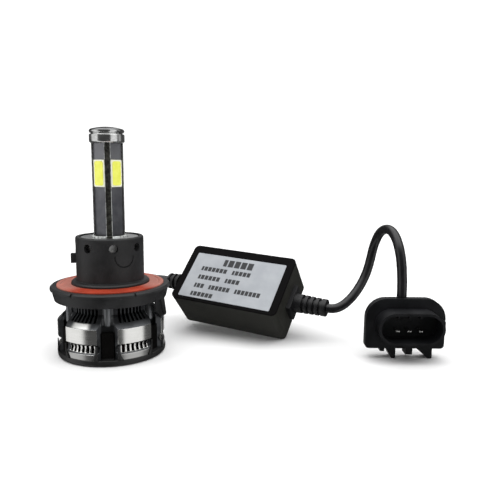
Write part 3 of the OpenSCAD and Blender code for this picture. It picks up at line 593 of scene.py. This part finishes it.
def dress(name, part):
    """Gives a CAD node its material, round edges and smooth shading."""
    mesh = part.data
    mesh.materials.clear()
    mesh.materials.append(MATERIALS[SLOT_OF[name]])
    if "custom_normal" in mesh.attributes:
        mesh.attributes.remove(mesh.attributes["custom_normal"])
    mesh.polygons.foreach_set("use_smooth", [True] * len(mesh.polygons))
    weld = part.modifiers.new("weld", "WELD")
    weld.merge_threshold = WELD_GAP * MM
    flat = part.modifiers.new("flat", "DECIMATE")
    flat.decimate_type = "DISSOLVE"
    flat.angle_limit = math.radians(FLAT_ANGLE)
    bevel = part.modifiers.new("round", "BEVEL")
    bevel.width = ROUND_EDGES.get(name, ROUND_EDGE) * MM
    bevel.segments = 2
    bevel.limit_method = "ANGLE"
    bevel.angle_limit = math.radians(EDGE_ANGLE)
    normals = part.modifiers.new("normals", "WEIGHTED_NORMAL")
    normals.keep_sharp = True


# ---------------------------------------------------------------- new pieces

def finish_piece(piece, slot, body, *replaced):
    """Puts a new piece in the scene, on its body and in place of the CAD nodes that it stands for."""
    bpy.context.scene.collection.objects.link(piece)
    piece.data.materials.append(MATERIALS[slot])
    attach(piece, body)
    if replaced:
        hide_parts(*replaced)
    return piece


def cable(name, route, replaced):
    """A round cable on one smooth curve through its route."""
    curve = bpy.data.curves.new(name, "CURVE")
    curve.dimensions = "3D"
    curve.bevel_depth = CABLE_D / 2 * MM
    curve.bevel_resolution = 6
    curve.resolution_u = 6
    curve.use_fill_caps = True
    spline = curve.splines.new("BEZIER")
    spline.bezier_points.add(len(route) - 1)
    for point, place in zip(spline.bezier_points, route):
        point.co = Vector(place) * MM
        point.handle_left_type = "AUTO"
        point.handle_right_type = "AUTO"
    return finish_piece(bpy.data.objects.new(name, curve), "cable_sheath", "lamp", replaced)


def mesh_piece(name, build, slot, body, *replaced):
    """A smooth-shaded piece whose mesh build(bm) makes in millimetres."""
    bm = bmesh.new()
    build(bm)
    bmesh.ops.remove_doubles(bm, verts=bm.verts, dist=0.0005)
    bmesh.ops.recalc_face_normals(bm, faces=bm.faces)
    bmesh.ops.scale(bm, vec=(MM, MM, MM), verts=bm.verts)
    mesh = bpy.data.meshes.new(name)
    bm.to_mesh(mesh)
    bm.free()
    mesh.polygons.foreach_set("use_smooth", [True] * len(mesh.polygons))
    return finish_piece(bpy.data.objects.new(name, mesh), slot, body, *replaced)


def lathe(bm, profile, steps=96):
    """Turns a closed outline of (radius, height) points round the Z axis."""
    rings = []
    for i in range(steps):
        a = 2 * math.pi * i / steps
        rings.append([bm.verts.new((r * math.cos(a), r * math.sin(a), z)) for r, z in profile])
    count = len(profile)
    for i in range(steps):
        here, there = rings[i], rings[(i + 1) % steps]
        for j in range(count):
            k = (j + 1) % count
            bm.faces.new((here[j], there[j], there[k], here[k]))


def arc(centre, radius, start, end, steps=4):
    """Points of an arc in an outline, between two angles in degrees."""
    turns = [math.radians(start + (end - start) * i / steps) for i in range(steps + 1)]
    return [(centre[0] + radius * math.cos(t), centre[1] + radius * math.sin(t)) for t in turns]


# The impeller, in millimetres and degrees. A blade's chord is the angle that it spans.
HUB_R, HUB_LOW, HUB_HIGH = 9.25, 0.8, 9.6
CUP_R, CUP_FLOOR = 8.3, 2
BOSS_R, BOSS_TOP, BORE_R = 1.8, 3.6, 0.76
AXIS_R = 0.001
TIP_R = 14.75
BLADES = 7
BLADE_LOW, BLADE_RISE = 1.3, 7.9
BLADE_SWEEP = 11
ROOT_CHORD, TIP_CHORD = 29, 34
BLADE_HALF = 0.42
BLADE_SINK = 0.35


def fan_blade(bm, turn):
    """A swept blade: its leading edge is low and runs forward to the tip, and it rises as it trails."""
    across, along = 12, 16
    root_r = HUB_R - BLADE_SINK
    sides = ([], [])
    for i in range(across + 1):
        share = i / across
        r = root_r + (TIP_R - root_r) * share
        lead = -BLADE_SWEEP * share ** 1.6
        chord = ROOT_CHORD + (TIP_CHORD - ROOT_CHORD) * share
        for j in range(along + 1):
            t = j / along
            a = math.radians(turn + lead + chord * t)
            z = BLADE_LOW + BLADE_RISE * (t + 0.12 * math.sin(math.pi * t))
            slope = math.atan2(BLADE_RISE, math.radians(chord) * r)
            half = BLADE_HALF * (1 - 0.35 * share) * math.sin(math.pi * (0.06 + 0.88 * t)) ** 0.4
            push = (math.sin(slope) * half, math.cos(slope) * half)
            for side, sign in zip(sides, (1, -1)):
                b = a - sign * push[0] / r
                side.append(bm.verts.new((r * math.cos(b), r * math.sin(b), z + sign * push[1])))
    row = along + 1
    for i in range(across):
        for j in range(along):
            corner = i * row + j
            for side in sides:
                bm.faces.new((side[corner], side[corner + 1], side[corner + row + 1], side[corner + row]))
    rim = list(range(along)) + [i * row + along for i in range(across)]
    rim += [across * row + along - j for j in range(along)] + [(across - i) * row for i in range(across)]
    for here, there in zip(rim, rim[1:] + rim[:1]):
        bm.faces.new((sides[0][here], sides[0][there], sides[1][there], sides[1][here]))


def build_impeller(bm):
    """A cup-shaped hub with a moulding gate under it and a bored boss in it, and the blades round it."""
    gate = [(AXIS_R, HUB_LOW + 0.2), (0.35, HUB_LOW + 0.25), (0.6, HUB_LOW + 0.12), (0.75, HUB_LOW)]
    outer = arc((HUB_R - 0.5, HUB_LOW + 0.5), 0.5, -90, 0)
    lip = [
        (HUB_R, HUB_HIGH - 0.15), (HUB_R - 0.15, HUB_HIGH),
        (CUP_R + 0.15, HUB_HIGH), (CUP_R, HUB_HIGH - 0.15),
    ]
    cup = [(CUP_R, CUP_FLOOR + 0.2), (CUP_R - 0.2, CUP_FLOOR), (BOSS_R + 0.1, CUP_FLOOR)]
    boss = [(BOSS_R, CUP_FLOOR + 0.1), (BOSS_R, BOSS_TOP), (BORE_R, BOSS_TOP), (BORE_R, CUP_FLOOR)]
    lathe(bm, gate + outer + lip + cup + boss + [(AXIS_R, CUP_FLOOR)])
    for i in range(BLADES):
        fan_blade(bm, i * 360 / BLADES)


def build_claws(bm):
    """Curved flares of the fan ring beside each groove, over the lobes' lower corners."""
    inner_r, outer_r = 21.03, 21.4
    low, high, steps = 2.4, 7.9, 12
    # Degrees off the groove: the near edge, the far edge at the top, and what the foot adds to that.
    near, narrow, flare = 10.1, 11.4, 5
    for lobe in range(LOBES):
        for side in (-1, 1):
            levels = []
            for i in range(steps + 1):
                t = i / steps
                z = low + (high - low) * t
                far = narrow + flare * (1 - t) ** 2.2
                level = []
                for offset in (near, far):
                    b = math.radians(GROOVE_TURN + LOBE_STEP * lobe + side * offset)
                    for r in (inner_r, outer_r):
                        level.append(bm.verts.new((r * math.sin(b), -r * math.cos(b), z)))
                levels.append(level)
            for here, there in zip(levels, levels[1:]):
                # In each level: near inside, near outside, far inside, far outside.
                for p, q in ((0, 1), (1, 3), (3, 2), (2, 0)):
                    bm.faces.new((here[p], here[q], there[q], there[p]))
            for level in (levels[0], levels[-1]):
                bm.faces.new((level[0], level[1], level[3], level[2]))


# ---------------------------------------------------------------- stage

def add_floor():
    """A plain white floor. Nothing glossy mirrors it, so that metal shows the room's light and dark."""
    half = 3.0
    just_below = -0.02 * MM
    mesh = bpy.data.meshes.new("floor")
    corners = [(-half, -half, 0), (half, -half, 0), (half, half, 0), (-half, half, 0)]
    mesh.from_pydata(corners, [], [(0, 1, 2, 3)])
    look = Look("floor_white", Specular_IOR_Level=0.0)
    look.colour(look.blend(look.noise(look.point, 3), (0.9, 0.9, 0.9), (0.92, 0.92, 0.92)))
    look.roughness(0.9)
    mesh.materials.append(look.material)
    floor = bpy.data.objects.new("floor", mesh)
    floor.location.z = just_below
    floor.visible_glossy = False
    bpy.context.scene.collection.objects.link(floor)


def add_room():
    """A dark room with soft lights at its sides, behind and above; the camera sees it white."""
    world = bpy.data.worlds.new("room")
    world.use_nodes = True
    bpy.context.scene.world = world
    room = Graph(world.node_tree)
    background = world.node_tree.nodes["Background"]
    x, y, z = room.split(room.node("TexCoord").outputs["Generated"])[:3]
    bearing = room.calc("DEGREES", room.calc("ARCTAN2", x, room.product(y, -1.0)))
    walls, backdrop = 0.085, 1.2
    # Each light has the bearings or heights of its edges and its strength.
    right = room.product(room.band(bearing, 38, 84, 2.5), 0.95)
    left = room.product(room.band(bearing, -100, -48, 6), 0.95)
    aside = room.product(room.band(bearing, 94, 114, 5), room.step(z, -0.09, 0.0), 0.45)
    behind = room.product(room.step(room.calc("ABSOLUTE", bearing), 160, 176), 0.5)
    above = room.product(room.step(z, 0.55, 0.9), 2.3)
    strength = room.total(walls, right, left, aside, behind, above)
    seen = room.node("LightPath").outputs["Is Camera Ray"]
    shown = room.total(room.product(strength, room.rest(seen)), room.product(seen, backdrop))
    background.inputs["Color"].default_value = (1, 1, 1, 1)
    room.feed(background.inputs["Strength"], shown)


# ---------------------------------------------------------------- build

add_camera()
bulb_lead = cable("bulb_lead_cord", LEAD_ROUTE, "bulb_lead")
plug_cable = cable("plug_cable_cord", PLUG_ROUTE, "plug_cable")

for node_name, node_part in NODES.items():
    dress(node_name, node_part)

mesh_piece("impeller_moulding", build_impeller, "fan_red", "rotor", "impeller")
mesh_piece("fan_ring_claws", build_claws, "ring_plastic", "lamp")

add_floor()
add_room()
bpy.context.scene.view_settings.view_transform = "Standard"
